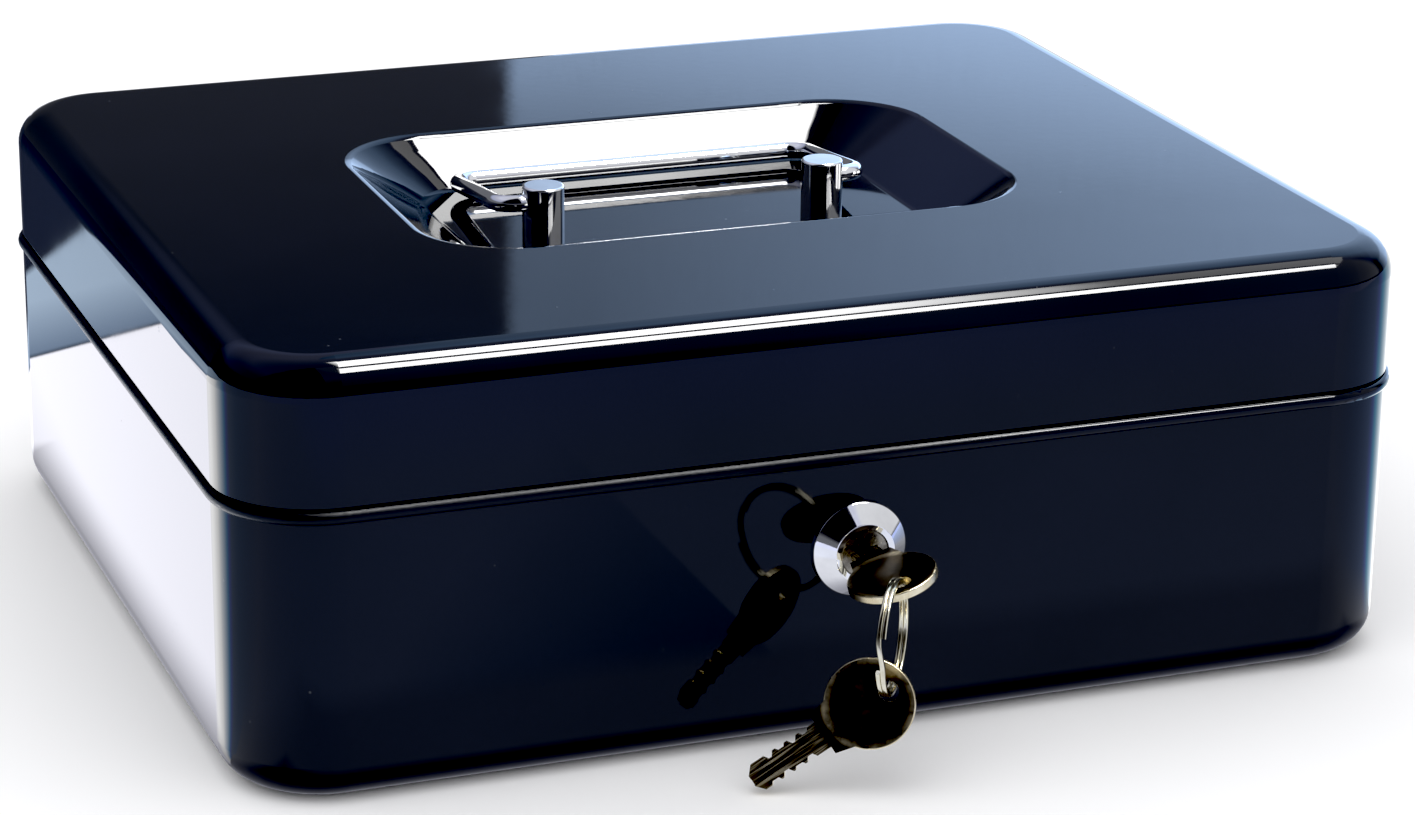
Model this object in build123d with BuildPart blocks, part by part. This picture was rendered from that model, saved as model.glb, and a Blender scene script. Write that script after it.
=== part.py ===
"""Steel cash box: deep body, hinged lid with a sunk handle, cam lock, coin tray and two keys."""
import os
from math import cos, radians, sin

from build123d import *

os.makedirs("parts", exist_ok=True)

# ---------------------------------------------------------------- driving dimensions
# The origin is the centre of the base. X runs to the right, Y to the back and Z up.
width = 300.0
depth = 254.0
height = 107.0
corner_radius = 25.0
sheet = 0.8                     # steel thickness of the body and the lid

front = -depth / 2
rear = depth / 2

# Body: the wall ends in a rolled bead, and a stepped lip stands up inside the lid.
foot_radius = 9.5
bead_bottom = 69.2
bead_top = 72.4
bead_out = 1.2
lip_inset = 1.4
lip_top = 80.0

# Lid, with the well that the handle folds into.
lid_bottom = 73.1
top_radius = 9.0
well_length = 159.0
well_depth = 105.5
well_y = -2.75
well_radius = 25.0
well_drop = 12.7
well_floor_length = 120.0
well_floor_depth = 82.0
well_floor_y = -2.5
well_floor_radius = 13.0
well_rim_fillet = 3.0
well_foot_fillet = 2.5
well_floor = height - well_drop

# Handle: a wire bail that turns in two posts.
post_x = 38.2
post_y = -6.7
post_radius = 5.4
post_top = height + 0.4
wire_radius = 2.2
bail_clearance = 0.05
bail_z = 103.0
bail_x = 49.4
grip_y = 35.0
grip_z = 98.0
bail_bend = 6.0
post_screw_radius = 2.5
post_screw_depth = 5.0
washer_thickness = 0.9
post_screw_head_radius = 4.5
post_screw_head_height = 3.0
screw_slot_width = 1.1          # the cross recess in a screw head
screw_slot_depth = 1.6

# Hinges on the back, outside the seam.
hinge_x = 95.0
hinge_width = 44.0
hinge_middle = 15.4             # length of the lid's knuckle
hinge_gap = 0.3
knuckle_radius = 2.4
pin_radius = 1.25
pin_clearance = 0.05
pin_head_radius = 2.1
pin_head_length = 1.2
hinge_y = rear + 0.4 + knuckle_radius
hinge_z = 72.7
leaf_thickness = 1.0
leaf_height = 19.0
rivet_radius = 1.6
rivet_head_radius = 3.0
rivet_head_height = 0.9
rivet_formed_height = 0.6       # the flatter head inside the wall
rivet_spread = 13.0             # from the middle of the hinge to each rivet
rivet_rise = 13.0               # from the hinge pin up or down to the rivets
rivet_clearance = 0.05
knuckle_clearance = 0.6         # between a knuckle and the other leaf's plate

# Lock in the middle of the front.
lock_z = 47.9
barrel_radius = 9.0
barrel_back = front + 19.0
bezel_radius = 11.75
bezel_face_radius = 7.4
bezel_height = 4.6
bezel_rim = 1.0
plug_radius = 6.0
plug_clearance = 0.05
plug_face = front - bezel_height + 0.3
plug_back = barrel_back + 1.5
key_tilt = 15.0                 # the keyway's right end stands this much higher
keyway_width = 7.0
keyway_height = 2.2
wafer_count = 4
wafer_pitch = 3.0
wafer_thickness = 1.0
wafer_length = 11.2
wafer_height = 6.2
wafer_first = plug_face + 4.5
washer_outer = 12.0
nut_flats = 23.0
nut_thickness = 3.4
tail_side = 6.4
cam_thickness = 2.0
cam_width = 9.0
cam_reach = 20.0
cam_screw_radius = 1.9
cam_screw_length = 4.0
cam_screw_head_radius = 5.2
cam_screw_head_height = 2.0

# Lid catch: the cam turns in above its tongue.
catch_left = 14.5
catch_width = 11.0
catch_thickness = 1.2
catch_step = 84.0
catch_top = 97.0
catch_foot_spread = 5.0         # the welded foot is this much wider on each side
catch_strip_y = front + 9.0
catch_gap = 0.5

# Coin tray, hung on the lip by its flange.
tray_wall = 1.6
tray_clearance = 0.6
tray_floor = 47.0
tray_flange = 1.5
notch_width = 84.0
notch_depth = 29.0
divider_y = -18.0

# Keys: a round bow with a hole, a short shoulder and a blade that is cut on both edges.
bow_radius = 10.7
key_thickness = 2.0
key_hole_radius = 2.5
key_hole_offset = 5.4           # from the middle of the bow
shoulder_end = 13.0
shoulder_width = 10.4
blade_width = 6.8
blade_end = 33.0
groove_depth = 0.5
key_out = 16.5                  # from the plug's face to the middle of the bow

# Split ring and the spare key that leans on the table.
ring_radius = 13.0
ring_wire_across = 2.2
ring_wire_thick = 1.4
ring_centre = (-5.2, -160.6, 38.7)
ring_yaw = 235.0
spare_yaw = 162.0
spare_slope = 35.7
spare_hang = 0.5                # from the ring's wire to the middle of the spare's hole
spare_facing = 19.0             # how far the spare's face turns about its own length


def box_outline(inset):
    """Rounded outline of the box, drawn in by a distance."""
    RectangleRounded(width - 2 * inset, depth - 2 * inset, corner_radius - inset)


# ---------------------------------------------------------------- body shell
with BuildPart() as body_cavity:
    with BuildSketch(Plane.XY.offset(sheet)):
        box_outline(sheet)
    extrude(amount=bead_bottom - sheet)
    fillet(body_cavity.faces().sort_by(Axis.Z)[0].edges(), foot_radius - sheet)

with BuildPart() as bead:
    with BuildSketch(Plane.XY.offset(bead_bottom)):
        box_outline(-bead_out)
    extrude(amount=bead_top - bead_bottom)
    fillet(bead.faces().filter_by(Axis.Z).edges(), 0.48 * (bead_top - bead_bottom))

front_plane = Plane((0, front, lock_z), x_dir=(1, 0, 0), z_dir=(0, -1, 0))
rivet_places = [side * hinge_x + spread for side in (-1, 1) for spread in (-rivet_spread, rivet_spread)]
body_rivet_z = hinge_z - rivet_rise
lid_rivet_z = hinge_z + rivet_rise

with BuildPart() as body_shell:
    with BuildSketch():
        box_outline(0)
    extrude(amount=bead_top)
    fillet(body_shell.faces().sort_by(Axis.Z)[0].edges(), foot_radius)
    add(bead.part)
    with BuildSketch(Plane.XY.offset(bead_top)):
        box_outline(lip_inset)
    extrude(amount=lip_top - bead_top)
    add(body_cavity.part, mode=Mode.SUBTRACT)
    with BuildSketch(Plane.XY.offset(bead_bottom)):
        box_outline(lip_inset + sheet)
    extrude(amount=lip_top - bead_bottom, mode=Mode.SUBTRACT)
    with BuildSketch(front_plane):
        Circle(barrel_radius + 0.1)
    extrude(amount=2 * sheet, both=True, mode=Mode.SUBTRACT)
    # the bead is pressed flat where the hinges sit
    with Locations(*[(side * hinge_x, rear + bead_out, (bead_bottom + bead_top) / 2) for side in (-1, 1)]):
        Box(hinge_width + 4, 2 * bead_out, bead_top - bead_bottom + 0.4, mode=Mode.SUBTRACT)
    with BuildSketch(Plane((0, rear, body_rivet_z), x_dir=(-1, 0, 0), z_dir=(0, 1, 0))):
        with Locations(*[(x, 0) for x in rivet_places]):
            Circle(rivet_radius + rivet_clearance)
    extrude(amount=2 * sheet, both=True, mode=Mode.SUBTRACT)
body_shell.part.label = "body_shell"
export_step(body_shell.part, "parts/body_shell.step")

# ---------------------------------------------------------------- lid shell
with BuildPart() as well_hollow:
    with BuildSketch(Plane.XY.offset(height)):
        with Locations((0, well_y)):
            RectangleRounded(well_length, well_depth, well_radius)
    with BuildSketch(Plane.XY.offset(well_floor)):
        with Locations((0, well_floor_y)):
            RectangleRounded(well_floor_length, well_floor_depth, well_floor_radius)
    loft()

well_spread = 0.3               # keeps the sloping walls as thick as the sheet
with BuildPart() as well_block:
    with BuildSketch(Plane.XY.offset(height - sheet)):
        with Locations((0, well_y)):
            RectangleRounded(well_length + 2 * well_spread, well_depth + 2 * well_spread, well_radius)
    with BuildSketch(Plane.XY.offset(well_floor - sheet)):
        with Locations((0, well_floor_y)):
            RectangleRounded(well_floor_length + 2 * well_spread, well_floor_depth + 2 * well_spread,
                             well_floor_radius)
    loft()

with BuildPart() as lid_cavity:
    with BuildSketch(Plane.XY.offset(lid_bottom)):
        box_outline(sheet)
    extrude(amount=height - sheet - lid_bottom)
    fillet(lid_cavity.faces().sort_by(Axis.Z)[-1].edges(), top_radius - sheet)
    add(well_block.part, mode=Mode.SUBTRACT)

with BuildPart() as lid_shell:
    with BuildSketch(Plane.XY.offset(lid_bottom)):
        box_outline(0)
    extrude(amount=height - lid_bottom)
    fillet(lid_shell.faces().sort_by(Axis.Z)[-1].edges(), top_radius)
    add(well_hollow.part, mode=Mode.SUBTRACT)
    fillet(lid_shell.faces().sort_by(Axis.Z)[-1].inner_wires()[0].edges(), well_rim_fillet)
    well_floor_face = lid_shell.faces().filter_by_position(Axis.Z, well_floor - 0.01, well_floor + 0.01)[0]
    fillet(well_floor_face.outer_wire().edges(), well_foot_fillet)
    add(lid_cavity.part, mode=Mode.SUBTRACT)
    with Locations(*[(side * post_x, post_y, well_floor) for side in (-1, 1)]):
        Cylinder(post_screw_radius + 0.1, 3 * sheet, mode=Mode.SUBTRACT)
    with BuildSketch(Plane((0, rear, lid_rivet_z), x_dir=(-1, 0, 0), z_dir=(0, 1, 0))):
        with Locations(*[(x, 0) for x in rivet_places]):
            Circle(rivet_radius + rivet_clearance)
    extrude(amount=2 * sheet, both=True, mode=Mode.SUBTRACT)
lid_shell.part.label = "lid_shell"
export_step(lid_shell.part, "parts/lid_shell.step")

# ---------------------------------------------------------------- handle
for name, side in (("handle_post_left", -1), ("handle_post_right", 1)):
    with BuildPart() as post:
        with BuildSketch(Plane.XY.offset(well_floor)):
            with Locations((side * post_x, post_y)):
                Circle(post_radius)
        extrude(amount=post_top - well_floor)
        fillet(post.faces().sort_by(Axis.Z)[-1].edges(), 0.6)
        with BuildSketch(Plane.XY.offset(well_floor)):
            with Locations((side * post_x, post_y)):
                Circle(post_screw_radius + bail_clearance)
        extrude(amount=post_screw_depth + 0.4, mode=Mode.SUBTRACT)
        with BuildSketch(Plane((side * post_x, post_y, bail_z), x_dir=(0, side, 0), z_dir=(side, 0, 0))):
            Circle(wire_radius + bail_clearance)
        extrude(amount=post_radius + 1, mode=Mode.SUBTRACT)
    post.part.label = name
    export_step(post.part, f"parts/{name}.step")

with BuildPart() as post_washers:
    with BuildSketch(Plane.XY.offset(well_floor - sheet - washer_thickness)):
        with Locations((-post_x, post_y), (post_x, post_y)):
            Circle(post_screw_head_radius + 1.2)
            Circle(post_screw_radius + 0.2, mode=Mode.SUBTRACT)
    extrude(amount=washer_thickness)
post_washers.part.label = "post_washers"
export_step(post_washers.part, "parts/post_washers.step")

screw_seat = well_floor - sheet - washer_thickness
with BuildPart() as post_screws:
    with BuildSketch(Plane.XY.offset(screw_seat)):
        with Locations((-post_x, post_y), (post_x, post_y)):
            Circle(post_screw_head_radius)
    extrude(amount=-post_screw_head_height)
    fillet(post_screws.faces().group_by(Axis.Z)[0].edges(), 1.2)
    with BuildSketch(Plane.XY.offset(screw_seat)):
        with Locations((-post_x, post_y), (post_x, post_y)):
            Circle(post_screw_radius)
    extrude(amount=washer_thickness + sheet + post_screw_depth)
    with BuildSketch(Plane.XY.offset(screw_seat - post_screw_head_height)):
        with Locations((-post_x, post_y), (post_x, post_y)):
            Rectangle(1.15 * post_screw_head_radius, screw_slot_width)
            Rectangle(screw_slot_width, 1.15 * post_screw_head_radius)
    extrude(amount=screw_slot_depth, mode=Mode.SUBTRACT)
post_screws.part.label = "post_screws"
export_step(post_screws.part, "parts/post_screws.step")

with BuildPart() as handle_bail:
    with BuildLine() as bail_line:
        FilletPolyline(
            (-post_x - 0.4, post_y, bail_z),
            (-bail_x, post_y, bail_z),
            (-bail_x, grip_y, grip_z),
            (bail_x, grip_y, grip_z),
            (bail_x, post_y, bail_z),
            (post_x + 0.4, post_y, bail_z),
            radius=bail_bend,
        )
    with BuildSketch(Plane(bail_line.line @ 0, z_dir=bail_line.line % 0)):
        Circle(wire_radius)
    sweep()
handle_bail.part.label = "handle_bail"
export_step(handle_bail.part, "parts/handle_bail.step")


# ---------------------------------------------------------------- hinges
def knuckle_plane(x):
    """A plane across the hinge pin, facing right."""
    return Plane((x, hinge_y, hinge_z), x_dir=(0, 1, 0), z_dir=(1, 0, 0))


def hinge_leaf(middle, spans, up):
    """One leaf: a plate flat on the back wall, with knuckles rolled on the given spans of X."""
    rise = 1 if up else -1
    clear = knuckle_radius + knuckle_clearance
    tab = clear + 2.5           # from the pin to where the knuckle's strip joins the plate
    with BuildPart() as leaf:
        with BuildSketch(Plane((middle, rear, hinge_z + rise * (clear + leaf_height) / 2),
                               x_dir=(-1, 0, 0), z_dir=(0, 1, 0))):
            RectangleRounded(hinge_width, leaf_height - clear, 2.0)
        extrude(amount=leaf_thickness)
        for start, end in spans:
            with BuildSketch(knuckle_plane(middle + start)):
                Circle(knuckle_radius)
                with Locations((rear - hinge_y + leaf_thickness / 2, rise * tab / 2)):
                    Rectangle(leaf_thickness, tab)
            extrude(amount=end - start)
        with BuildSketch(knuckle_plane(middle - hinge_width / 2 - 1)):
            Circle(pin_radius + pin_clearance)
        extrude(amount=hinge_width + 2, mode=Mode.SUBTRACT)
        with BuildSketch(Plane((middle, rear, hinge_z + rise * rivet_rise),
                               x_dir=(-1, 0, 0), z_dir=(0, 1, 0))):
            with Locations((-rivet_spread, 0), (rivet_spread, 0)):
                Circle(rivet_radius + rivet_clearance)
        extrude(amount=2 * leaf_thickness, both=True, mode=Mode.SUBTRACT)
    return leaf.part


half = hinge_width / 2
inner = hinge_middle / 2
for name, side in (("left", -1), ("right", 1)):
    body_leaf = hinge_leaf(side * hinge_x, [(-half, -inner - hinge_gap), (inner + hinge_gap, half)], up=False)
    body_leaf.label = f"hinge_leaf_body_{name}"
    export_step(body_leaf, f"parts/hinge_leaf_body_{name}.step")

    lid_leaf = hinge_leaf(side * hinge_x, [(-inner, inner)], up=True)
    lid_leaf.label = f"hinge_leaf_lid_{name}"
    export_step(lid_leaf, f"parts/hinge_leaf_lid_{name}.step")

    with BuildPart() as pin:
        with BuildSketch(knuckle_plane(side * hinge_x - half - pin_head_length)):
            Circle(pin_head_radius)
        extrude(amount=pin_head_length)
        fillet(pin.faces().sort_by(Axis.X)[0].edges(), 0.4)
        with BuildSketch(knuckle_plane(side * hinge_x - half)):
            Circle(pin_radius)
        extrude(amount=hinge_width + 0.8)
        chamfer(pin.faces().sort_by(Axis.X)[-1].edges(), 0.3)
    pin.part.label = f"hinge_pin_{name}"
    export_step(pin.part, f"parts/hinge_pin_{name}.step")


def wall_rivets(z):
    """Four rivets through the back wall: shank, a round head outside and a formed head inside."""
    with BuildPart() as rivets:
        with BuildSketch(Plane((0, rear - sheet, z), x_dir=(-1, 0, 0), z_dir=(0, 1, 0))):
            with Locations(*[(x, 0) for x in rivet_places]):
                Circle(rivet_radius)
        extrude(amount=sheet + leaf_thickness)
        for y, rise in ((rear + leaf_thickness, rivet_head_height), (rear - sheet, -rivet_formed_height)):
            with BuildSketch(Plane((0, y, z), x_dir=(-1, 0, 0), z_dir=(0, 1, 0))):
                with Locations(*[(x, 0) for x in rivet_places]):
                    Circle(rivet_head_radius)
            extrude(amount=rise)
        fillet(rivets.faces().group_by(Axis.Y)[-1].edges(), 0.8 * rivet_head_height)
        fillet(rivets.faces().group_by(Axis.Y)[0].edges(), 0.8 * rivet_formed_height)
    return rivets.part


for name, z in (("hinge_rivets_body", body_rivet_z), ("hinge_rivets_lid", lid_rivet_z)):
    rivet_group = wall_rivets(z)
    rivet_group.label = name
    export_step(rivet_group, f"parts/{name}.step")


# ---------------------------------------------------------------- lock
def lock_plane(y, turned=0.0):
    """A plane across the lock's axis that faces the front, turned about that axis in degrees."""
    return Plane((0, y, lock_z), x_dir=(cos(radians(turned)), 0, sin(radians(turned))), z_dir=(0, -1, 0))


with BuildPart() as lock_housing:
    with BuildSketch(Plane((0, 0, lock_z), x_dir=(1, 0, 0), z_dir=(0, 0, 1))):
        with BuildLine():
            Polyline(
                (plug_radius + plug_clearance, barrel_back),
                (barrel_radius, barrel_back),
                (barrel_radius, front),
                (bezel_radius, front),
                (bezel_radius, front - bezel_rim),
                (bezel_face_radius, front - bezel_height),
                (plug_radius + plug_clearance, front - bezel_height),
                close=True,
            )
        make_face()
    revolve(axis=Axis((0, 0, lock_z), (0, 1, 0)))
    bezel_edges = lock_housing.edges().filter_by(GeomType.CIRCLE)
    fillet(bezel_edges.filter_by_position(Axis.Y, front - bezel_rim - 0.01, front - bezel_rim + 0.01), 0.5)
    fillet(bezel_edges.filter_by_position(Axis.Y, front - bezel_height - 0.01,
                                          front - bezel_height + 0.01).sort_by(SortBy.RADIUS)[-1], 0.5)
lock_housing.part.label = "lock_housing"
export_step(lock_housing.part, "parts/lock_housing.step")

with BuildPart() as lock_washer:
    with BuildSketch(lock_plane(front + sheet)):
        Circle(washer_outer)
        Circle(barrel_radius + 0.15, mode=Mode.SUBTRACT)
        with PolarLocations(washer_outer, 16):
            Rectangle(1.6, 1.0, mode=Mode.SUBTRACT)
    extrude(amount=-washer_thickness)
lock_washer.part.label = "lock_washer"
export_step(lock_washer.part, "parts/lock_washer.step")

with BuildPart() as lock_nut:
    with BuildSketch(lock_plane(front + sheet + washer_thickness)):
        RegularPolygon(nut_flats / 2, 6, major_radius=False)
    extrude(amount=-nut_thickness)
    with BuildSketch(lock_plane(front)):
        Circle(barrel_radius + 0.1)
    extrude(amount=front - barrel_back, mode=Mode.SUBTRACT)
lock_nut.part.label = "lock_nut"
export_step(lock_nut.part, "parts/lock_nut.step")

wafer_places = [wafer_first + index * wafer_pitch for index in range(wafer_count)]
cam_seat = plug_back + cam_thickness + 0.3
with BuildPart() as lock_plug:
    with BuildSketch(lock_plane(plug_face)):
        Circle(plug_radius)
    extrude(amount=plug_face - plug_back)
    chamfer(lock_plug.faces().sort_by(Axis.Y)[0].edges(), 0.3)
    with BuildSketch(lock_plane(plug_back)):
        Rectangle(tail_side, tail_side)
    extrude(amount=plug_back - cam_seat)
    with BuildSketch(lock_plane(plug_face, key_tilt)):
        Rectangle(keyway_width, keyway_height)
    extrude(amount=-(blade_end - key_out) - 1.5, mode=Mode.SUBTRACT)
    for y in wafer_places:
        with BuildSketch(lock_plane(y - 0.1, key_tilt)):
            Rectangle(4 * plug_radius, wafer_height + 0.2)
        extrude(amount=-wafer_thickness - 0.2, mode=Mode.SUBTRACT)
    with BuildSketch(lock_plane(cam_seat)):
        Circle(cam_screw_radius + plug_clearance)
    extrude(amount=cam_screw_length + 0.6, mode=Mode.SUBTRACT)
lock_plug.part.label = "lock_plug"
export_step(lock_plug.part, "parts/lock_plug.step")

with BuildPart() as wafer_tumblers:
    for y in wafer_places:
        with BuildSketch(lock_plane(y, key_tilt)):
            Rectangle(wafer_length, wafer_height)
            Circle(plug_radius - 0.1, mode=Mode.INTERSECT)
            Rectangle(keyway_width + 0.2, keyway_height + 0.4, mode=Mode.SUBTRACT)
            with Locations((4.0, wafer_height / 2)):
                Rectangle(3.4, 2.8, mode=Mode.SUBTRACT)
        extrude(amount=-wafer_thickness)
wafer_tumblers.part.label = "wafer_tumblers"
export_step(wafer_tumblers.part, "parts/wafer_tumblers.step")

spring_length = 2.3
with BuildPart() as wafer_springs:
    for y in wafer_places:
        up_right = lock_plane(y + wafer_thickness / 2, key_tilt)
        with BuildSketch(Plane(up_right.from_local_coords((2.5, 2.3, 0)), x_dir=(0, 1, 0),
                               z_dir=up_right.x_dir)):
            Circle(0.45)
            Circle(0.22, mode=Mode.SUBTRACT)
        extrude(amount=spring_length)
wafer_springs.part.label = "wafer_springs"
export_step(wafer_springs.part, "parts/wafer_springs.step")

with BuildPart() as lock_cam:
    with BuildSketch(lock_plane(plug_back)):
        Circle(barrel_radius - 1.5)
        with Locations((0, cam_reach / 2)):
            Rectangle(cam_width, cam_reach)
        with Locations((0, cam_reach)):
            Circle(cam_width / 2)
        Rectangle(tail_side + 0.1, tail_side + 0.1, mode=Mode.SUBTRACT)
    extrude(amount=-cam_thickness)
lock_cam.part.label = "lock_cam"
export_step(lock_cam.part, "parts/lock_cam.step")

with BuildPart() as cam_screw:
    with BuildSketch(lock_plane(cam_seat)):
        Circle(cam_screw_radius)
    extrude(amount=cam_screw_length)
    with BuildSketch(lock_plane(cam_seat)):
        Circle(cam_screw_head_radius)
    extrude(amount=-cam_screw_head_height)
    fillet(cam_screw.faces().sort_by(Axis.Y)[-1].edges(), 0.4 * cam_screw_head_height)
    with BuildSketch(lock_plane(cam_seat + cam_screw_head_height)):
        Rectangle(cam_screw_head_radius, screw_slot_width)
        Rectangle(screw_slot_width, cam_screw_head_radius)
    extrude(amount=0.6 * cam_screw_head_height, mode=Mode.SUBTRACT)
cam_screw.part.label = "cam_screw"
export_step(cam_screw.part, "parts/cam_screw.step")

# ---------------------------------------------------------------- lid catch
catch_tongue = lock_z - cam_width / 2 - catch_gap
catch_back = cam_seat + 0.3
with BuildPart() as lid_catch:
    with BuildSketch(Plane((catch_left, 0, 0), x_dir=(0, 1, 0), z_dir=(1, 0, 0))):
        with BuildLine():
            Polyline(
                (front + sheet, catch_top),
                (front + sheet, catch_step),
                (catch_strip_y, catch_step),
                (catch_strip_y, catch_tongue - catch_thickness),
                (catch_back, catch_tongue - catch_thickness),
                (catch_back, catch_tongue),
                (catch_strip_y + catch_thickness, catch_tongue),
                (catch_strip_y + catch_thickness, catch_step + catch_thickness),
                (front + sheet + catch_thickness, catch_step + catch_thickness),
                (front + sheet + catch_thickness, catch_top),
                close=True,
            )
        make_face()
    extrude(amount=catch_width)
    with BuildSketch(Plane((catch_left - catch_foot_spread, 0, 0), x_dir=(0, 1, 0), z_dir=(1, 0, 0))):
        with BuildLine():
            Polyline(
                (front + sheet, catch_top),
                (front + sheet, catch_step),
                (front + sheet + catch_thickness, catch_step),
                (front + sheet + catch_thickness, catch_top),
                close=True,
            )
        make_face()
    extrude(amount=catch_width + 2 * catch_foot_spread)
    fillet(lid_catch.edges().filter_by(Axis.X).filter_by_position(Axis.Z, 0, catch_step + 0.1), 0.4)
lid_catch.part.label = "lid_catch"
export_step(lid_catch.part, "parts/lid_catch.step")

# ---------------------------------------------------------------- coin tray
tray_inset = lip_inset + sheet + tray_clearance
flange_inset = sheet + tray_clearance + 0.4
tray_divider_top = lip_top - 2.0
tray_half_width = width / 2 - tray_inset
tray_front_notch = front + notch_depth


def tray_outline(inset, wall):
    """Outline of the tray, with the notch that clears the lock and the lid catch."""
    box_outline(inset)
    with Locations((0, front)):
        Rectangle(notch_width + 2 * wall, 2 * (notch_depth + wall), mode=Mode.SUBTRACT)


with BuildPart() as coin_tray:
    with BuildSketch(Plane.XY.offset(tray_floor)):
        tray_outline(tray_inset, 0)
    extrude(amount=lip_top - tray_floor)
    with BuildSketch(Plane.XY.offset(lip_top)):
        tray_outline(flange_inset, 0)
    extrude(amount=tray_flange)
    with BuildSketch(Plane.XY.offset(tray_floor + tray_wall)):
        tray_outline(tray_inset + tray_wall, tray_wall)
    extrude(amount=lip_top + tray_flange - tray_floor - tray_wall, mode=Mode.SUBTRACT)
    fillet(coin_tray.faces().filter_by_position(Axis.Z, tray_floor + tray_wall - 0.01,
                                                tray_floor + tray_wall + 0.01)[0].edges(), 3.0)
    with BuildSketch(Plane.XY.offset(tray_floor + tray_wall / 2)):
        with Locations((0, divider_y)):
            Rectangle(2 * tray_half_width - tray_wall, tray_wall)
        for x in (-50.0, 50.0):
            with Locations((x, (divider_y + rear - tray_inset - tray_wall / 2) / 2)):
                Rectangle(tray_wall, rear - tray_inset - tray_wall / 2 - divider_y)
        for x in (-notch_width / 2 - tray_wall / 2, notch_width / 2 + tray_wall / 2):
            with Locations((x, (divider_y + tray_front_notch) / 2)):
                Rectangle(tray_wall, divider_y - tray_front_notch)
    extrude(amount=tray_divider_top - tray_floor - tray_wall / 2)
coin_tray.part.label = "coin_tray"
export_step(coin_tray.part, "parts/coin_tray.step")


# ---------------------------------------------------------------- keys and ring
def key_blank(place):
    """A key on the plane `place`: origin in the middle of the bow, X towards the tip."""
    with BuildPart() as blank:
        with BuildSketch(place):
            Circle(bow_radius)
            with BuildLine():
                Polyline((0, bow_radius * 0.8), (shoulder_end, shoulder_width / 2),
                         (shoulder_end, -shoulder_width / 2), (0, -bow_radius * 0.8), close=True)
            make_face()
            with BuildLine():
                Polyline((shoulder_end - 1, blade_width / 2), (blade_end - 1.8, blade_width / 2),
                         (blade_end, 1.4), (blade_end, -1.4), (blade_end - 1.8, -blade_width / 2),
                         (shoulder_end - 1, -blade_width / 2), close=True)
            make_face()
            with Locations((-key_hole_offset, 0)):
                Circle(key_hole_radius, mode=Mode.SUBTRACT)
            # the cuts on the two edges of the blade
            for x, deep in ((16.6, 0.9), (19.9, 1.3), (23.2, 0.7), (26.5, 1.2)):
                with Locations((x, deep / 2 - blade_width / 2)):
                    Trapezoid(2.8, deep, 55, mode=Mode.SUBTRACT)
            for x, deep in ((18.2, 1.1), (21.5, 0.7), (24.8, 1.2), (28.1, 0.8)):
                with Locations((x, blade_width / 2 - deep / 2)):
                    Trapezoid(2.8, deep, 55, rotation=180, mode=Mode.SUBTRACT)
        extrude(amount=key_thickness / 2, both=True)
        bow_rim = blank.edges().filter_by(GeomType.CIRCLE).group_by(SortBy.RADIUS)[-1]
        fillet(bow_rim, 0.35)
        # a milled groove along each face of the blade
        for side in (1, -1):
            with BuildSketch(place.offset(side * (key_thickness / 2 - groove_depth))):
                with Locations(((shoulder_end + blade_end) / 2 + 1, 0.3 * side)):
                    Rectangle(blade_end - shoulder_end, 1.5)
            extrude(amount=side * 2 * groove_depth, mode=Mode.SUBTRACT)
    return blank.part


bow_y = plug_face - key_out
tilt = radians(key_tilt)
key_place = Plane((0, bow_y, lock_z), x_dir=(0, 1, 0), z_dir=(-sin(tilt), 0, cos(tilt)))
key_inserted = key_blank(key_place)
key_inserted.label = "key_inserted"
export_step(key_inserted, "parts/key_inserted.step")

ring_way = Vector(cos(radians(ring_yaw)), sin(radians(ring_yaw)), 0)
ring_across = ring_way.cross(Vector(0, 0, 1))
with BuildPart() as key_ring:
    with BuildSketch(Plane(ring_centre, x_dir=ring_way, z_dir=Vector(0, 0, -1))):
        with Locations((ring_radius, 0)):
            RectangleRounded(ring_wire_thick, ring_wire_across, 0.4)
    revolve(axis=Axis(ring_centre, ring_across))
key_ring.part.label = "key_ring"
export_step(key_ring.part, "parts/key_ring.step")

# The spare hangs from the lowest point of the ring, and its tip leans on the table.
slope = radians(spare_slope)
aim = radians(spare_yaw)
spare_way = Vector(cos(aim) * cos(slope), sin(aim) * cos(slope), -sin(slope))
level = Vector(-sin(aim), cos(aim), 0)
spare_face = level.rotate(Axis((0, 0, 0), spare_way), spare_facing)
spare_hole = Vector(*ring_centre) - Vector(0, 0, ring_radius) + spare_way * spare_hang
spare_place = Plane(spare_hole + spare_way * key_hole_offset, x_dir=spare_way, z_dir=spare_face)
key_spare = key_blank(spare_place)
key_spare.label = "key_spare"
export_step(key_spare, "parts/key_spare.step")
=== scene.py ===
"""Cash box: camera, studio, finishes and fine pieces around the CAD frame. Lengths are in metres."""

from math import cos, pi, radians, sin

import bmesh
import bpy
from mathutils import Matrix, Vector


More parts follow.
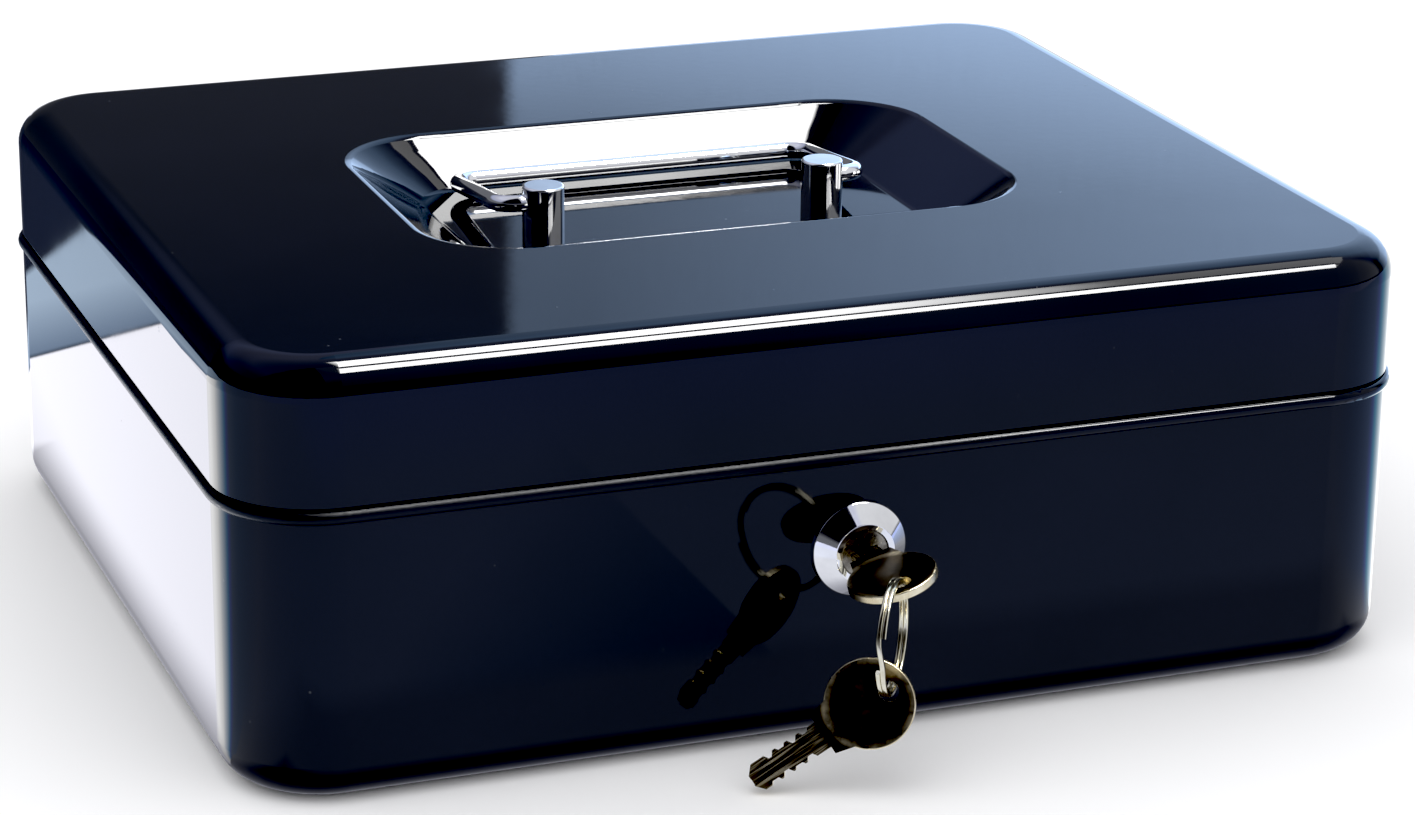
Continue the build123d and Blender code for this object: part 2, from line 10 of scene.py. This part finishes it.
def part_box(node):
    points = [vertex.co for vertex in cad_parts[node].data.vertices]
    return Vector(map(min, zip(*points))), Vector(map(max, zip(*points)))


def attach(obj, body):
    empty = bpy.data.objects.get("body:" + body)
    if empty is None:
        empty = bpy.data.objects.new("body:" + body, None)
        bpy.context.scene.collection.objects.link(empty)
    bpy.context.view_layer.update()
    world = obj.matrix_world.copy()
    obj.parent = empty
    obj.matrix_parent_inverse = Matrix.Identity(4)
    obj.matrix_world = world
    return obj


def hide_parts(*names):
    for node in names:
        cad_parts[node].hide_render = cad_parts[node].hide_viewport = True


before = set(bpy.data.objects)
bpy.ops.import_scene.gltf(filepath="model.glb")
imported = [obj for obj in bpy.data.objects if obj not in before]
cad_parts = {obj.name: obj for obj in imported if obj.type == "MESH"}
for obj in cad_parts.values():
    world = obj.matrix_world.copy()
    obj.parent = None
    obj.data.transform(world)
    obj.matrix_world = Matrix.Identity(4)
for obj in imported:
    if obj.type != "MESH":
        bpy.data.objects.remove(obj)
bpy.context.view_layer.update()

MM = 0.001
LID_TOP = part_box("lid_shell")[1][2]
LOCK_Z = 47.9 * MM
LOCK_TILT = radians(15.0)
RING_RADIUS = 13.0 * MM


# ---------------------------------------------------------------- node helpers
class Graph:
    """A short way to write a node tree: values and sockets can be mixed freely."""

    def __init__(self, tree):
        self.tree = tree
        tree.nodes.clear()

    def node(self, kind, inputs=(), **settings):
        made = self.tree.nodes.new(kind)
        for name, value in settings.items():
            setattr(made, name, value)
        for key, value in dict(inputs).items():
            self.feed(made.inputs[key], value)
        return made

    def feed(self, socket, value):
        if isinstance(value, bpy.types.NodeSocket):
            self.tree.links.new(value, socket)
        else:
            socket.default_value = value

    def math(self, operation, first, second=0.0, third=0.0):
        return self.node("ShaderNodeMath", {0: first, 1: second, 2: third}, operation=operation).outputs[0]

    def product(self, *factors):
        total = factors[0]
        for factor in factors[1:]:
            total = self.math("MULTIPLY", total, factor)
        return total

    def remap(self, value, start, end, low=0.0, high=1.0, kind="LINEAR"):
        return self.node("ShaderNodeMapRange", {0: value, 1: start, 2: end, 3: low, 4: high},
                         interpolation_type=kind).outputs[0]

    def mix(self, factor, first, second, blend="MIX"):
        made = self.node("ShaderNodeMix", data_type="RGBA", blend_type=blend)
        self.feed(made.inputs[0], factor)
        self.feed(made.inputs[6], first)
        self.feed(made.inputs[7], second)
        return made.outputs[2]

    def ramp(self, value, stops, interpolation="LINEAR"):
        made = self.node("ShaderNodeValToRGB", {0: value})
        made.color_ramp.interpolation = interpolation
        elements = made.color_ramp.elements
        for place, colour in stops[2:]:
            elements.new(place)
        for element, (place, colour) in zip(elements, sorted(stops)):
            element.position = place
        for element, (place, colour) in zip(elements, sorted(stops)):
            element.color = (*colour, 1)
        return made.outputs[0]

    def noise(self, vector, scale, detail=2.0, roughness=0.5):
        return self.node("ShaderNodeTexNoise", {"Vector": vector, "Scale": scale, "Detail": detail,
                                                "Roughness": roughness}).outputs[0]

    def bump(self, height, distance, strength=1.0, normal=None):
        inputs = {"Height": height, "Distance": distance, "Strength": strength}
        if normal is not None:
            inputs["Normal"] = normal
        return self.node("ShaderNodeBump", inputs).outputs[0]


# ---------------------------------------------------------------- camera
def make_camera():
    """The photo's viewpoint, fitted to the box's edges."""
    place = Vector((-0.3609, -0.9779, 0.4043))
    azimuth, elevation, roll = radians(-20.753), radians(19.212), radians(0.654)
    back = Vector((sin(azimuth) * cos(elevation), -cos(azimuth) * cos(elevation), sin(elevation)))
    level = Vector((0, 0, 1)).cross(back).normalized()
    upright = back.cross(level)
    right = cos(roll) * level + sin(roll) * upright
    up = cos(roll) * upright - sin(roll) * level
    data = bpy.data.cameras.new("camera")
    data.lens = 106.5
    data.sensor_width = 36.0
    data.sensor_fit = "HORIZONTAL"
    camera = bpy.data.objects.new("camera", data)
    camera.matrix_world = Matrix.Translation(place) @ Matrix((right, up, back)).transposed().to_4x4()
    bpy.context.collection.objects.link(camera)
    bpy.context.scene.camera = camera


# ---------------------------------------------------------------- studio
GREY_TINT = (0.72, 1.0, 1.48, 1)
AIR_LIGHT = (1.22, 1.22, 1.23, 1)


def make_world():
    """White to the camera and to soft light. Reflections see a dark room with a grey backdrop instead."""
    world = bpy.data.worlds.new("studio")
    bpy.context.scene.world = world
    world.use_nodes = True
    world.cycles.sampling_method = "NONE"
    g = Graph(world.node_tree)
    sky_place = g.node("ShaderNodeTexCoord").outputs["Generated"]
    direction = g.node("ShaderNodeSeparateXYZ", {0: sky_place}).outputs
    azimuth = g.math("DEGREES", g.math("ARCTAN2", direction[0], direction[1]))
    elevation = g.math("DEGREES", g.math("ARCSINE", direction[2]))
    inside = g.product(g.remap(azimuth, 17.8, 18.0), g.remap(azimuth, 80, 60), g.remap(elevation, 58, 52))
    level = g.math("ADD", g.remap(azimuth, 19.0, 29.0, 0.40, 1.02), g.remap(elevation, 16.2, 13.5, 0.0, 0.9))
    weave = g.noise(sky_place, 1400.0, 1.0)
    level = g.product(level, g.remap(weave, 0.30, 0.70, 0.92, 1.08))
    grey = g.mix(1.0, GREY_TINT, level, "MULTIPLY")
    room = g.ramp(g.math("DIVIDE", elevation, 90.0), [
        (0.0, (0.168, 0.173, 0.190)), (0.215, (0.168, 0.173, 0.190)), (0.31, (0.39, 0.42, 0.58)),
        (0.45, (0.49, 0.50, 0.60)), (0.58, (0.64, 0.66, 0.80)), (1.0, (0.60, 0.61, 0.64))])
    lit_side = g.product(g.remap(azimuth, 84, 92), g.remap(azimuth, 168, 156), g.remap(elevation, 0, 3))
    dark_side = g.product(g.remap(azimuth, -95, -110), g.remap(elevation, 8, 14))
    room = g.mix(dark_side, g.mix(lit_side, room, (0.74, 0.75, 0.78, 1)), (0.03, 0.03, 0.035, 1))
    mirrored = g.mix(inside, room, g.mix(1.0, grey, (0.15, 0.15, 0.15, 1), "ADD"))
    path = g.node("ShaderNodeLightPath").outputs
    colour = g.mix(path["Is Glossy Ray"], AIR_LIGHT, mirrored)
    colour = g.mix(path["Is Camera Ray"], colour, (1.0, 1.0, 1.0, 1))
    sky = g.node("ShaderNodeBackground", {"Color": colour})
    g.tree.links.new(sky.outputs[0], g.node("ShaderNodeOutputWorld").inputs[0])


FLOOR_TONE = (0.87, 0.91, 1.04)
REAR_TONE = (0.63, 0.65, 0.70)
LEFT_SHADE = (0.70, 0.78, 0.95)
RIGHT_SHADE = (0.55, 0.65, 0.92)
LEFT_SHEET, RIGHT_SHEET = 3.5, 2.8
LEFT_SHEET_REAR = (2.7, 2.7, 2.95)


def bearing(g, x, y, from_x, from_y):
    """Degrees clockwise from +Y, seen from a corner of the box."""
    return g.math("DEGREES", g.math("ARCTAN2", g.math("SUBTRACT", x, from_x), g.math("SUBTRACT", y, from_y)))


def left_light(g, angle, channel):
    """A white sheet at the left. Its light fades towards the front, red first and blue last."""
    fringe = (-56, -59, -64)[channel]
    floor = g.remap(angle, -105, -75, FLOOR_TONE[channel], LEFT_SHADE[channel])
    sheet = g.remap(angle, -24, -16, LEFT_SHEET, LEFT_SHEET_REAR[channel])
    light = g.remap(angle, fringe, -37, floor, sheet)
    light = g.remap(angle, -4, 8, light, REAR_TONE[channel])
    return g.remap(angle, 100, 150, light, FLOOR_TONE[channel])


def right_light(g, angle, channel):
    """A smaller sheet at the rear right, which fades in the same way."""
    fringe = (78, 86, 94)[channel]
    light = g.remap(angle, 20, 45, REAR_TONE[channel], RIGHT_SHEET)
    light = g.remap(angle, 48, fringe, light, RIGHT_SHADE[channel])
    light = g.remap(angle, 95, 150, light, FLOOR_TONE[channel])
    return g.remap(angle, -80, -120, light, FLOOR_TONE[channel])


def mirrored_floor(g, x, y):
    """What reflections see in place of the pale floor: a painted glow of two sheets of light, and painted
    shade in darker zones by the box.
    """
    angle = bearing(g, x, y, -0.150, -0.104)
    left = g.node("ShaderNodeCombineColor", {k: left_light(g, angle, k) for k in range(3)}).outputs[0]
    angle = bearing(g, x, y, 0.145, -0.112)
    right = g.node("ShaderNodeCombineColor", {k: right_light(g, angle, k) for k in range(3)}).outputs[0]
    around = g.mix(g.math("GREATER_THAN", x, 0.0), left, right)
    # beyond the white sheet on the left: its dark edge, a grey strip and then the dark room
    past_sheet = g.math("ADD", g.math("SUBTRACT", y, 0.138), g.math("MULTIPLY", x, 0.45))
    past_strip = g.math("ADD", g.math("SUBTRACT", y, 0.0145), g.math("MULTIPLY", x, 1.5))
    strip = g.mix(g.remap(past_sheet, 0.004, 0.05), (0.5, 0.65, 0.9, 1), (1.0, 1.25, 1.58, 1))
    strip = g.mix(g.remap(past_sheet, 0.0, 0.004), (0.14, 0.16, 0.2, 1), strip)
    far = g.mix(g.remap(past_strip, 0.0, 0.006), strip, (0.11, 0.12, 0.16, 1))
    behind_left = g.product(g.remap(past_sheet, -0.001, 0.001), g.math("LESS_THAN", x, -0.10))
    around = g.mix(behind_left, around, far)
    # painted shade: the strip of floor right in front of the box is darker, where the box shades it, and the
    # far front is bluer
    painted_front_shade = g.product(g.remap(y, -0.196, -0.178), g.math("LESS_THAN", y, -0.10), g.remap(x, -0.20, -0.16),
                     g.remap(x, 0.20, 0.16))
    around = g.mix(painted_front_shade, around, (0.82, 0.84, 0.91, 1))
    around = g.mix(g.remap(y, -0.33, -0.40), around, (0.86, 0.90, 1.13, 1))
    # painted contact shadow: the glowing floor darkens towards the box's outline
    gap_x = g.math("SUBTRACT", g.math("ABSOLUTE", x), 0.150)
    gap_y = g.math("SUBTRACT", g.math("ABSOLUTE", y), 0.127)
    painted_contact_shadow = g.remap(g.math("MAXIMUM", gap_x, gap_y), 0.016, 0.0, 0.0, 0.75, "SMOOTHSTEP")
    return g.mix(painted_contact_shadow, around, (0.2, 0.2, 0.24, 1))


def make_floor():
    """A plain pale floor for the camera and for soft light. Reflections see mirrored_floor instead, painted
    on the floor as a glow.
    """
    mesh = bpy.data.meshes.new("floor")
    half = 6.0
    corners = [(-half, -half, 0), (half, -half, 0), (half, half, 0), (-half, half, 0)]
    mesh.from_pydata(corners, [], [(0, 1, 2, 3)])
    floor = bpy.data.objects.new("floor", mesh)
    floor.location.z = -0.0002
    bpy.context.collection.objects.link(floor)
    material = bpy.data.materials.new("floor")
    material.use_nodes = True
    material.cycles.emission_sampling = "NONE"
    g = Graph(material.node_tree)
    place = g.node("ShaderNodeNewGeometry").outputs["Position"]
    x, y = g.node("ShaderNodeSeparateXYZ", {0: place}).outputs[:2]
    glow = g.node("ShaderNodeEmission", {"Color": mirrored_floor(g, x, y), "Strength": 1.0}).outputs[0]
    paper = g.mix(g.remap(g.noise(place, 3.0), 0.3, 0.7), (0.90, 0.90, 0.91, 1), (0.93, 0.93, 0.94, 1))
    matt = g.node("ShaderNodeBsdfDiffuse", {"Color": paper}).outputs[0]
    glossy = g.node("ShaderNodeLightPath").outputs["Is Glossy Ray"]
    surface = g.node("ShaderNodeMixShader", {0: glossy, 1: matt, 2: glow}).outputs[0]
    g.tree.links.new(surface, g.node("ShaderNodeOutputMaterial").inputs[0])
    mesh.materials.append(material)


REFLECTOR_HEIGHT = LID_TOP + 2.0
REFLECTOR_GLOW, REFLECTOR_DIM = 27.0, 2.5


def add_reflector(name, corners, dims_from, dims_to):
    """A level sheet of light overhead, for reflections only. It dims to the right between two values of X."""
    mesh = bpy.data.meshes.new(name)
    mesh.from_pydata([(x, y, REFLECTOR_HEIGHT) for x, y in corners], [], [(0, 1, 2, 3)])
    reflector = bpy.data.objects.new(name, mesh)
    reflector.visible_camera = reflector.visible_diffuse = reflector.visible_shadow = False
    bpy.context.collection.objects.link(reflector)
    material = bpy.data.materials.new(name)
    material.use_nodes = True
    g = Graph(material.node_tree)
    x = g.node("ShaderNodeSeparateXYZ", {0: g.node("ShaderNodeTexCoord").outputs["Object"]}).outputs[0]
    left, soft_edge = min(corner[0] for corner in corners), 0.10
    dimming = g.remap(x, dims_from, dims_to, REFLECTOR_GLOW, REFLECTOR_DIM)
    strength = g.product(g.remap(x, left, left + soft_edge), dimming)
    glow = g.node("ShaderNodeEmission", {"Color": (1, 1, 1, 1), "Strength": strength})
    g.tree.links.new(glow.outputs[0], g.node("ShaderNodeOutputMaterial").inputs[0])
    mesh.materials.append(material)


def make_lights():
    """Two overhead sheets with a gap, for the double line on the rounded edges, and one soft key light."""
    add_reflector("reflector_rear", [(0.24, -0.16), (1.50, -0.50), (1.50, 0.36), (0.24, 0.53)], 0.72, 1.02)
    add_reflector("reflector_front", [(0.22, -0.97), (1.50, -1.06), (1.50, -0.67), (0.22, -0.36)], 1.20, 1.50)
    data = bpy.data.lights.new("soft_key", "AREA")
    data.size = 1.2
    data.energy = 4.0
    key = bpy.data.objects.new("soft_key", data)
    key.location = (-0.5, -0.6, 1.5)
    key.rotation_euler = (radians(-22), radians(-18), 0)
    key.visible_camera = key.visible_glossy = False
    bpy.context.collection.objects.link(key)


# ---------------------------------------------------------------- finishes
def new_finish(name):
    """A material with an empty graph around a principled shader."""
    material = bpy.data.materials.new(name)
    material.use_nodes = True
    g = Graph(material.node_tree)
    shader = g.node("ShaderNodeBsdfPrincipled")
    g.tree.links.new(shader.outputs[0], g.node("ShaderNodeOutputMaterial").inputs[0])
    coords = g.node("ShaderNodeTexCoord").outputs
    return material, g, shader.inputs, coords


def gloss_paint():
    """Black stove enamel: faint orange peel, a fine grain, and a few specks of dust."""
    material, g, shader, coords = new_finish("black_gloss_paint")
    place = coords["Object"]
    speck = g.node("ShaderNodeTexVoronoi", {"Vector": place, "Scale": 260.0}).outputs["Distance"]
    chosen = g.remap(g.noise(place, 60.0, 1.0), 0.66, 0.70)
    dust = g.product(g.remap(speck, 0.10, 0.05), chosen)
    cloud = g.remap(g.noise(place, 14.0, 3.0), 0.35, 0.7)
    tone = g.mix(cloud, (0.0010, 0.0016, 0.0045, 1), (0.0022, 0.0030, 0.0075, 1))
    g.feed(shader["Base Color"], g.mix(g.math("MULTIPLY", dust, 0.3), tone, (0.10, 0.11, 0.12, 1)))
    wipe = g.remap(g.noise(place, 26.0, 4.0), 0.35, 0.75, 0.025, 0.065)
    x, _, z = g.node("ShaderNodeSeparateXYZ", {0: place}).outputs
    # the bead is duller on its left half, which mutes the line of light along it
    on_bead = g.product(g.remap(z, 68.6 * MM, 69.4 * MM), g.remap(z, 73.4 * MM, 72.8 * MM))
    dulled = g.product(on_bead, g.remap(x, 0.075, -0.005))
    wipe = g.math("ADD", wipe, g.math("MULTIPLY", dulled, 0.42))
    g.feed(shader["Roughness"], g.math("ADD", wipe, g.math("MULTIPLY", dust, 0.3)))
    shader["IOR"].default_value = 1.5
    peel = g.bump(g.noise(place, 330.0, 1.0), 2.0e-6)
    grain = g.bump(g.noise(place, 1900.0, 2.0), 0.5e-6, normal=peel)
    g.feed(shader["Normal"], g.bump(dust, 8.0e-6, normal=grain))
    return material


def metal(name, colour, tarnish, roughness, scale=90.0, scratch=1.5e-6):
    """A metal with cloudy tarnish, uneven polish and fine hairlines."""
    material, g, shader, coords = new_finish(name)
    place = coords["Object"]
    cloud = g.noise(place, scale, 4.0, 0.6)
    g.feed(shader["Base Color"], g.mix(g.remap(cloud, 0.45, 0.72), (*colour, 1), (*tarnish, 1)))
    shader["Metallic"].default_value = 1.0
    g.feed(shader["Roughness"], g.remap(g.noise(place, 4 * scale, 3.0), 0.3, 0.7, roughness[0], roughness[1]))
    stretched = g.node("ShaderNodeMapping", {"Vector": place, "Scale": (400.0, 60.0, 2600.0)}).outputs[0]
    g.feed(shader["Normal"], g.bump(g.noise(stretched, 1.0, 3.0), scratch))
    return material


def key_finish(name, bow, along, face_axis, dark, light):
    """Nickelled brass key: dark faces, a rubbed rim round the bow and bare cut edges, both also painted
    lighter as highlights, and painted highlight streaks along the blade.
    """
    material, g, shader, coords = new_finish(name)
    place = coords["Object"]

    def dot(vector, axis):
        return g.node("ShaderNodeVectorMath", {0: vector, 1: axis}, operation="DOT_PRODUCT").outputs["Value"]

    # bare cut edges, brightened over a widened band as a painted highlight
    edge = g.remap(g.math("ABSOLUTE", dot(coords["Normal"], face_axis)), 0.99, 0.90)
    cloud = g.noise(place, 210.0, 5.0, 0.65)
    from_bow = g.node("ShaderNodeVectorMath", {0: place, 1: bow}, operation="SUBTRACT").outputs["Vector"]
    reach = g.node("ShaderNodeVectorMath", {0: from_bow}, operation="LENGTH").outputs["Value"]
    # a rubbed rim round the bow, lightened further as a painted highlight
    rim_wear_and_highlight = g.product(g.remap(reach, 9.1 * MM, 10.6 * MM), g.remap(reach, 11.6 * MM, 10.9 * MM),
                         g.remap(cloud, 0.40, 0.62, 0.08, 0.55))
    lengthwise = dot(from_bow, along)
    crosswise = dot(from_bow, along.cross(face_axis))
    stretched = g.node("ShaderNodeCombineXYZ", {0: g.math("MULTIPLY", crosswise, 1500.0),
                                                1: g.math("MULTIPLY", lengthwise, 60.0)}).outputs[0]
    streak = g.noise(stretched, 1.0, 2.0)
    # painted highlight: light streaks along the blade that stand in for glints in its groove
    painted_blade_glints = g.product(g.remap(lengthwise, 13.0 * MM, 15.0 * MM), g.remap(streak, 0.50, 0.64, 0.02, 0.75))
    wear_and_highlights = g.math("MAXIMUM", edge, g.math("MAXIMUM", rim_wear_and_highlight, painted_blade_glints))
    face = g.mix(g.remap(cloud, 0.40, 0.75), (*dark, 1), (*light, 1))
    rim = g.mix(g.remap(cloud, 0.35, 0.7), (0.88, 0.80, 0.58, 1), (0.66, 0.56, 0.36, 1))
    g.feed(shader["Base Color"], g.mix(wear_and_highlights, face, rim))
    shader["Metallic"].default_value = 1.0
    handled = g.remap(cloud, 0.3, 0.75, 0.26, 0.42)
    g.feed(shader["Roughness"], g.math("ADD", handled, g.math("MULTIPLY", wear_and_highlights, -0.08)))
    pits = g.bump(g.noise(place, 1500.0, 3.0), 5.0e-6)
    g.feed(shader["Normal"], g.bump(streak, 6.0e-6, normal=pits))
    return material


def tray_plastic():
    """Moulded plastic with a fine spark-eroded texture."""
    material, g, shader, coords = new_finish("tray_plastic")
    place = coords["Object"]
    cloud = g.remap(g.noise(place, 40.0, 3.0), 0.3, 0.7)
    g.feed(shader["Base Color"], g.mix(cloud, (0.014, 0.014, 0.015, 1), (0.024, 0.024, 0.026, 1)))
    g.feed(shader["Roughness"], g.remap(g.noise(place, 220.0, 2.0), 0.3, 0.7, 0.42, 0.58))
    g.feed(shader["Normal"], g.bump(g.noise(place, 2200.0, 3.0, 0.7), 2.5e-5, 0.7))
    return material


def paint_nodes(material, *nodes):
    """Puts the material in every slot of the named CAD nodes."""
    for node in nodes:
        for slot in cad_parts[node].material_slots:
            slot.material = material


def inserted_key():
    """Middle of the bow, the way the blade points and the way the face looks, for the key in the lock."""
    bow_middle = Vector((0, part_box("key_inserted")[0][1] + 10.7 * MM, LOCK_Z))
    return bow_middle, Vector((0, 1, 0)), Vector((-sin(LOCK_TILT), 0, cos(LOCK_TILT)))


def spare_key():
    """The same for the spare, which hangs from the lowest point of the ring."""
    aim, slope = radians(162.0), radians(35.7)
    along = Vector((cos(aim) * cos(slope), sin(aim) * cos(slope), -sin(slope)))
    face = Matrix.Rotation(radians(19.0), 3, along) @ Vector((-sin(aim), cos(aim), 0))
    return ring_frame()[0] - Vector((0, 0, RING_RADIUS)) + along * 5.9 * MM, along, face


# ---------------------------------------------------------------- fine pieces
def ring_frame():
    """Centre, a direction in the ring's plane, and the ring's axis."""
    yaw = radians(235.0)
    way = Vector((cos(yaw), sin(yaw), 0))
    return Vector((-5.2, -160.6, 38.7)) * MM, way, Vector((sin(yaw), -cos(yaw), 0))


def place_mesh(name, mesh, material):
    """Turns a bmesh into an object in the scene, with its faces looking outwards."""
    bmesh.ops.recalc_face_normals(mesh, faces=mesh.faces)
    data = bpy.data.meshes.new(name)
    mesh.to_mesh(data)
    mesh.free()
    data.materials.append(material)
    made = bpy.data.objects.new(name, data)
    bpy.context.collection.objects.link(made)
    return made


def tube(name, path, across, section, material):
    """A smooth mesh swept along a path, with a side direction for each point and an outline of points."""
    mesh = bmesh.new()
    loops = []
    for index, point in enumerate(path):
        ahead = (path[min(index + 1, len(path) - 1)] - path[max(index - 1, 0)]).normalized()
        side = (across[index] - ahead * across[index].dot(ahead)).normalized()
        out = ahead.cross(side)
        loops.append([mesh.verts.new(point + side * u + out * v) for u, v in section])
    count = len(section)
    for first, second in zip(loops, loops[1:]):
        for k in range(count):
            mesh.faces.new((first[k], first[(k + 1) % count], second[(k + 1) % count], second[k]))
    mesh.faces.new(list(reversed(loops[0])))
    mesh.faces.new(loops[-1])
    made = place_mesh(name, mesh, material)
    for face in made.data.polygons:
        face.use_smooth = True
    return made


def rounded_section(width, height, radius, steps=3):
    """Outline points of a rectangle with rounded corners, centred on zero."""
    points = []
    for quarter, (sx, sy) in enumerate(((1, 1), (-1, 1), (-1, -1), (1, -1))):
        for step in range(steps + 1):
            angle = (quarter + step / steps) * pi / 2
            points.append((sx * (width / 2 - radius) + radius * cos(angle),
                           sy * (height / 2 - radius) + radius * sin(angle)))
    return points


def split_ring(material):
    """Two turns of flat wire that lie side by side, with the step where the wire crosses over."""
    centre, way, axis = ring_frame()
    third = axis.cross(way)
    offset, step_angle, end_gap = 0.55 * MM, radians(34), radians(3)
    start = radians(20)
    end = start + 4 * pi - step_angle - end_gap
    path, across = [], []
    count = 360
    for index in range(count + 1):
        angle = start + (end - start) * index / count
        along = (angle - start - (2 * pi - step_angle)) / step_angle
        along = min(max(along, 0.0), 1.0)
        shift = offset * (2 * along * along * (3 - 2 * along) - 1)
        path.append(centre + RING_RADIUS * (cos(angle) * way + sin(angle) * third) + axis * shift)
        across.append(axis)
    ring = tube("split_ring", path, across, rounded_section(1.06 * MM, 1.4 * MM, 0.28 * MM), material)
    ring.modifiers.new("edges", "EDGE_SPLIT").split_angle = radians(50)
    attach(ring, "ring")
    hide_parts("key_ring")


def wafer_coils(material):
    """A small coil spring beside each wafer."""
    right = Vector((cos(LOCK_TILT), 0, sin(LOCK_TILT)))
    up = Vector((-sin(LOCK_TILT), 0, cos(LOCK_TILT)))
    turns, per_turn, length, radius, wire = 6, 20, 2.3 * MM, 0.35 * MM, 0.075 * MM
    section = [(wire * cos(k * pi / 4), wire * sin(k * pi / 4)) for k in range(8)]
    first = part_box("wafer_springs")[0][1] + 0.45 * MM
    wafer_pitch = 3.0 * MM
    for number in range(4):
        base = Vector((0, first + wafer_pitch * number, LOCK_Z)) + (2.5 * right + 2.3 * up) * MM
        path, across = [], []
        for index in range(turns * per_turn + 1):
            angle = 2 * pi * index / per_turn
            out = cos(angle) * up + sin(angle) * Vector((0, 1, 0))
            reach = wire + (length - 2 * wire) * index / (turns * per_turn)
            path.append(base + right * reach + out * radius)
            across.append(out)
        coil = tube(f"wafer_coil_{number + 1}", path, across, section, material)
        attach(coil, "lock_core")
        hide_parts("wafer_springs")


def soften_edges(*nodes):
    """Breaks the sharp edges of small pressed or cut parts."""
    for node in nodes:
        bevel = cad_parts[node].modifiers.new("broken_edges", "BEVEL")
        bevel.width = 0.16 * MM
        bevel.segments = 2
        bevel.limit_method = "ANGLE"
        bevel.angle_limit = radians(50)


def barrel_thread(material):
    """The thread on the lock's barrel, behind its nut."""
    crest, root, pitch = 9.28 * MM, 8.98 * MM, 1.0 * MM
    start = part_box("lock_nut")[1][1] + 0.3 * MM
    turns = int((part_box("lock_housing")[1][1] - start) / pitch) - 1
    per_turn = 48
    mesh = bmesh.new()
    rows = []
    for index in range(turns * per_turn + 1):
        angle = 2 * pi * index / per_turn
        y = start + pitch * index / per_turn
        fade = min(index, turns * per_turn - index, per_turn / 3) / (per_turn / 3)
        rows.append([mesh.verts.new((radius * cos(angle), y + shift * pitch, LOCK_Z + radius * sin(angle)))
                     for radius, shift in ((root, 0.0), (root + (crest - root) * fade, 0.42),
                                           (root + (crest - root) * fade, 0.58), (root, 1.0))])
    for first, second in zip(rows, rows[1:]):
        for k in range(3):
            mesh.faces.new((first[k], second[k], second[k + 1], first[k + 1]))
        mesh.faces.new((first[3], second[3], second[0], first[0]))
    mesh.faces.new(rows[0])
    mesh.faces.new(list(reversed(rows[-1])))
    thread = place_mesh("barrel_thread", mesh, material)
    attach(thread, "box_body")


def catch_welds(material):
    """Four spot welds that hold the catch's foot to the inside of the lid's front wall."""
    low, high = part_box("lid_catch")
    face_y = low[1] + 1.2 * MM
    around = 20
    mesh = bmesh.new()
    for x in (low[0] + 2.6 * MM, high[0] - 2.6 * MM):
        for z in (high[2] - 3.0 * MM, high[2] - 9.0 * MM):
            rings = []
            for radius, rise in ((1.5, 0.0), (1.35, 0.10), (0.95, 0.14), (0.6, 0.04)):
                turns = [2 * pi * k / around for k in range(around)]
                rings.append([mesh.verts.new((x + radius * MM * cos(turn), face_y + rise * MM,
                                              z + radius * MM * sin(turn))) for turn in turns])
            for first, second in zip(rings, rings[1:]):
                for k in range(around):
                    mesh.faces.new((first[k], first[(k + 1) % around], second[(k + 1) % around], second[k]))
            mesh.faces.new(rings[0])
            mesh.faces.new(rings[-1])
    welds = place_mesh("catch_welds", mesh, material)
    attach(welds, "lid")


# ---------------------------------------------------------------- the run
make_camera()
make_world()
make_floor()
make_lights()

chrome = metal("chrome_plate", (0.90, 0.90, 0.91), (0.80, 0.80, 0.81), (0.02, 0.07), scratch=0.5e-6)
zinc = metal("zinc_plate", (0.66, 0.68, 0.70), (0.50, 0.51, 0.50), (0.24, 0.40))
barrel_thread(chrome)
catch_welds(zinc)
paint_nodes(gloss_paint(), "body_shell", "lid_shell")
paint_nodes(chrome, "handle_post_left", "handle_post_right", "handle_bail", "lock_housing")
paint_nodes(zinc, "hinge_pin_left", "hinge_pin_right", "hinge_rivets_body", "hinge_rivets_lid", "lock_washer",
            "lock_nut", "post_screws", "post_washers", "lock_cam", "cam_screw", "lid_catch",
            "hinge_leaf_body_left", "hinge_leaf_body_right", "hinge_leaf_lid_left", "hinge_leaf_lid_right")
plug_nickel = metal("plug_nickel", (0.34, 0.32, 0.28), (0.10, 0.09, 0.075), (0.18, 0.34), scale=260.0)
paint_nodes(plug_nickel, "lock_plug")
paint_nodes(metal("wafer_brass", (0.78, 0.60, 0.30), (0.55, 0.40, 0.20), (0.25, 0.4)), "wafer_tumblers")
wafer_coils(metal("spring_steel", (0.60, 0.60, 0.61), (0.45, 0.45, 0.46), (0.22, 0.34)))
# the two keys share one finish; the key in the lock has faces painted darker than the spare's, as painted
# shade
key_metal = key_finish("key_metal", *inserted_key(), (0.026, 0.021, 0.015), (0.075, 0.058, 0.036))
spare_metal = key_finish("key_metal_spare", *spare_key(), (0.050, 0.041, 0.029), (0.13, 0.102, 0.066))
paint_nodes(key_metal, "key_inserted")
paint_nodes(spare_metal, "key_spare")
soften_edges("key_inserted", "key_spare")
split_ring(metal("ring_nickel", (0.86, 0.82, 0.66), (0.62, 0.56, 0.40), (0.10, 0.22)))
paint_nodes(tray_plastic(), "coin_tray")

# the studio's reflections are set for this black level, which turns the faintest ones black
view = bpy.context.scene.view_settings
view.view_transform = "Standard"
view.use_curve_mapping = True
view.curve_mapping.black_level = (0.033, 0.033, 0.033)
view.curve_mapping.update()
